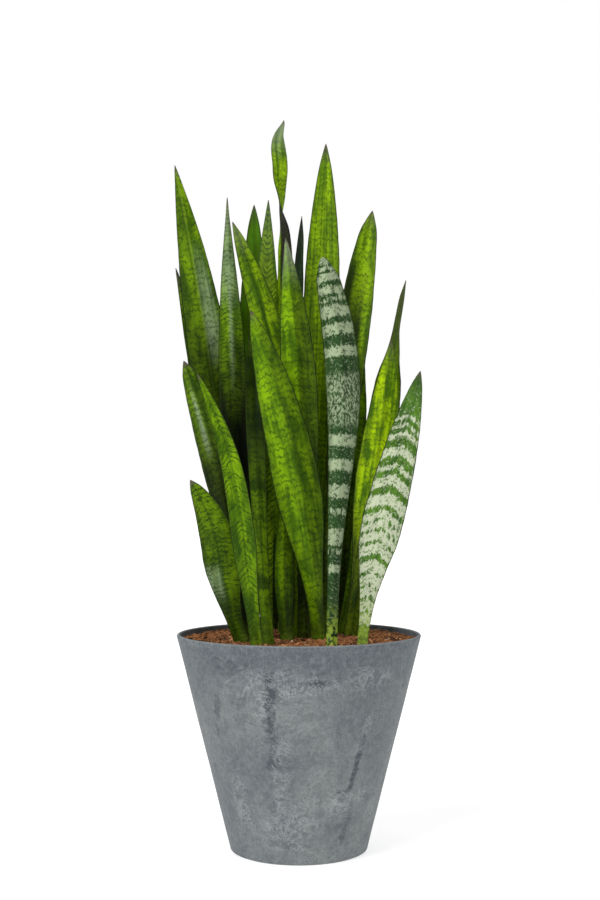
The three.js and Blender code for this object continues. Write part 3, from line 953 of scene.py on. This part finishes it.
def soil_surface(radius, top, bottom_radius, bottom):
    """Vertices and faces of the closed mix: a lumpy top, a tapered wall and a flat foot."""
    spokes = [(math.cos(TAU * i / SOIL_SPOKES), math.sin(TAU * i / SOIL_SPOKES))
              for i in range(SOIL_SPOKES)]
    vertices = [(0.0, 0.0, soil_height(0, 0, top))]
    rings = [[0]]
    for k in range(1, SOIL_RINGS + 1):
        r = radius * k / SOIL_RINGS
        rings.append(range(len(vertices), len(vertices) + SOIL_SPOKES))
        vertices += [(r * x, r * y, soil_height(r * x, r * y, top)) for x, y in spokes]
    rings.append(range(len(vertices), len(vertices) + SOIL_SPOKES))
    vertices += [(bottom_radius * x, bottom_radius * y, bottom) for x, y in spokes]
    faces = []
    for inner, outer in zip(rings, rings[1:]):
        for i in range(SOIL_SPOKES):
            j = (i + 1) % SOIL_SPOKES
            corners = [inner[i % len(inner)], outer[i], outer[j], inner[j % len(inner)]]
            faces.append(tuple(dict.fromkeys(corners)))
    faces.append(tuple(reversed(rings[-1])))
    return vertices, faces


class Crumbs:
    """Loose chips and fibres scattered on the mix, gathered into one mesh."""

    def __init__(self, radius, top):
        self.rng = random.Random(11)
        self.radius = radius
        self.top = top
        self.vertices = []
        self.faces = []
        self.tone = []

    def anywhere(self):
        r = (self.radius - 0.003) * math.sqrt(self.rng.random())
        angle = self.rng.uniform(0, TAU)
        return r * math.cos(angle), r * math.sin(angle)

    def chip(self):
        """One broken, tilted box."""
        rng = self.rng
        x, y = self.anywhere()
        size = rng.uniform(0.8, 2.6) * MM
        size *= BIG_CHIP_SCALE if rng.random() < BIG_CHIP_SHARE else 1.0
        centre = Vector((x, y, soil_height(x, y, self.top) + rng.uniform(-0.2, 0.8) * MM))
        turn = rng.uniform(0, ANY_TURN)
        ax = Vector((math.cos(turn), math.sin(turn), rng.uniform(-0.6, 0.6))).normalized()
        ay = ax.cross(Vector((rng.uniform(-0.6, 0.6), rng.uniform(-0.6, 0.6), 1))).normalized()
        axes = (ax, ay, ax.cross(ay))
        shape = (size * rng.uniform(1.0, 2.2), size * rng.uniform(0.5, 1.0),
                 size * rng.uniform(0.25, 0.6))
        start = len(self.vertices)
        for corner in BOX_CORNERS:
            place = centre.copy()
            for axis, sign, length in zip(axes, corner, shape):
                place += axis * (sign * length * rng.uniform(0.55, 1.0))
            self.vertices.append(tuple(place))
        tone = rng.random() ** 1.3
        if rng.random() < PALE_CHIP_SHARE:
            tone = PALE_CHIP_TONE
        self.tone.extend([tone] * len(BOX_CORNERS))
        self.faces.extend(tuple(start + q for q in quad) for quad in BOX_FACES)

    def fibre(self):
        """One thin fibre that curls over the mix, three-sided and closed at its ends."""
        rng = self.rng
        x, y = self.anywhere()
        length = rng.uniform(4, 16) * MM
        thick = rng.uniform(0.12, 0.28) * MM
        heading = rng.uniform(0, ANY_TURN)
        curl = rng.uniform(-1.6, 1.6)
        arch = rng.uniform(0.2, 2.2) * MM
        place = Vector((x, y, 0))
        rows = []
        for k in range(FIBRE_STEPS + 1):
            heading += curl / FIBRE_STEPS
            ahead = Vector((math.cos(heading), math.sin(heading), 0))
            place = place + ahead * (length / FIBRE_STEPS)
            if math.hypot(place.x, place.y) > self.radius - 0.001:
                break
            lift = arch * math.sin(math.pi * k / FIBRE_STEPS) + 0.3 * MM
            z = soil_height(place.x, place.y, self.top) + lift
            rows.append((Vector((place.x, place.y, z)), heading))
        if len(rows) < 3:
            return
        tone = rng.uniform(0.3, 1.2)
        start = len(self.vertices)
        for point, angle in rows:
            across = Vector((-math.sin(angle), math.cos(angle), 0))
            for corner in range(FIBRE_SIDES):
                phase = TAU * corner / FIBRE_SIDES
                offset = across * (thick * math.cos(phase))
                offset += Vector((0, 0, thick * math.sin(phase)))
                self.vertices.append(tuple(point + offset))
                self.tone.append(tone)
        self.faces.extend(tuple(start + q for q in quad)
                          for quad in tube_faces(len(rows), FIBRE_SIDES))


def soil():
    """Crumbly coir surface on the CAD mix, with loose chips and fibres on it.

    Returns the height of the surface's middle.
    """
    low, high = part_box("soil")
    points = np.array([v.co for v in NODES["soil"].data.vertices])
    radii = np.hypot(points[:, 0], points[:, 1])
    radius = radii.max() + SOIL_OVERLAP
    top = float(np.median(points[points[:, 2] > high.z - 0.004][:, 2]))
    bottom_radius = radii[points[:, 2] < low.z + NEAR].max()
    material = coir_material()
    vertices, faces = soil_surface(radius, top, bottom_radius, low.z)
    tone = np.full(len(vertices), SOIL_TONE)
    mesh_object("soil_mix", vertices, faces, material, ("soil",), {"tone": tone})

    crumbs = Crumbs(radius, top)
    for _ in range(CHIPS):
        crumbs.chip()
    for _ in range(FIBRES):
        crumbs.fibre()
    mesh_object("soil_crumbs", crumbs.vertices, crumbs.faces, material,
                attributes={"tone": crumbs.tone}, smooth=False)
    return top


def coir_material():
    """Damp coir: dark between the crumbs, red-brown on them, a few pale chips."""
    t = Tree("coir_mix")
    coordinates = t.add("ShaderNodeTexCoord").outputs["Object"]
    tone = t.attribute("tone").outputs["Fac"]
    crumbs = t.noise(coordinates, 260.0, 5.0, 0.7, 0.4)
    lumps = t.noise(coordinates, 40.0, 3.0, 0.6)
    fuzz = t.noise(coordinates, 900.0, 3.0, 0.7)
    value = t.plus(t.times(crumbs, 0.7), t.times(tone, 0.55), t.swing(lumps, 0.35))
    colour = t.mix(t.step(value, 0.30, 0.62), (0.030, 0.013, 0.005), (0.25, 0.100, 0.035))
    colour = t.mix(t.step(value, 0.60, 1.05), colour, (0.52, 0.25, 0.11))
    colour = t.mix(t.step(tone, 1.3, 1.5), colour, (0.66, 0.52, 0.36))
    height = t.plus(crumbs, t.times(fuzz, 0.4))
    t.set(Base_Color=colour, Roughness=0.95, Normal=t.bump(height, 0.0012, 0.9))
    t.set(Specular_IOR_Level=0.2)
    return t.material


# ======== studio ========
AMBIENT = 0.22
FLOOR_HALF = 60.0
FLOOR_GLOW = 0.62
# Azimuth (0 from the front, + from the right), elevation and spread in degrees, and strength.
LIGHTS = {"key": (-48, 38, 40, 2.5), "fill": (50, 34, 70, 1.5), "top": (180, 60, 60, 0.9)}
CAMERA_PLACE = (0.0014, -1.815, 0.474)
CAMERA_LENS = 53.68
CAMERA_SHIFT = 0.0522


def pale_floor():
    mesh = bpy.data.meshes.new("floor")
    corners = [(x * FLOOR_HALF, y * FLOOR_HALF, 0)
               for x, y in ((-1, -1), (1, -1), (1, 1), (-1, 1))]
    mesh.from_pydata(corners, [], [(0, 1, 2, 3)])
    floor = add_to_scene("floor", mesh)
    t = Tree("pale_floor")
    t.set(Base_Color=(0.5, 0.5, 0.5), Roughness=0.9, Specular_IOR_Level=0.1)
    t.set(Emission_Color=(1.0, 1.0, 1.0), Emission_Strength=FLOOR_GLOW)
    mesh.materials.append(t.material)


def white_world():
    """White to look at, softer than that as a light."""
    world = bpy.data.worlds.new("studio")
    bpy.context.scene.world = world
    world.use_nodes = True
    tree = world.node_tree
    background = tree.nodes["Background"]
    background.inputs["Color"].default_value = (1, 1, 1, 1)
    path = tree.nodes.new("ShaderNodeLightPath")
    level = tree.nodes.new("ShaderNodeMapRange")
    level.inputs["To Min"].default_value = AMBIENT
    tree.links.new(path.outputs["Is Camera Ray"], level.inputs["Value"])
    tree.links.new(level.outputs[0], background.inputs["Strength"])


def soft_light(name, azimuth, elevation, spread, strength):
    light = bpy.data.lights.new(name, "SUN")
    light.angle = math.radians(spread)
    light.energy = strength
    lamp = add_to_scene(name, light)
    turn, lift = math.radians(azimuth), math.radians(elevation)
    source = Vector((math.sin(turn) * math.cos(lift), -math.cos(turn) * math.cos(lift),
                     math.sin(lift)))
    lamp.rotation_euler = (-source).to_track_quat("-Z", "Y").to_euler()


def front_camera():
    data = bpy.data.cameras.new("camera")
    data.lens = CAMERA_LENS
    data.sensor_width = 36.0
    data.shift_y = CAMERA_SHIFT
    camera = add_to_scene("camera", data)
    camera.location = CAMERA_PLACE
    camera.rotation_euler = (math.pi / 2, 0, 0)
    bpy.context.scene.camera = camera


def studio():
    pale_floor()
    white_world()
    for name, settings in LIGHTS.items():
        soft_light(name, *settings)
    front_camera()
    bpy.context.scene.view_settings.view_transform = "Standard"


studio()
pot()
soil_top = soil()
for number, leaf in enumerate(sorted(n for n in NODES if n.startswith("leaf_"))):
    own = LOOKS.get(leaf.removeprefix("leaf_"), BACK_LOOK)
    blade(leaf, SimpleNamespace(**(DEFAULT_LOOK | own)), soil_top, number)
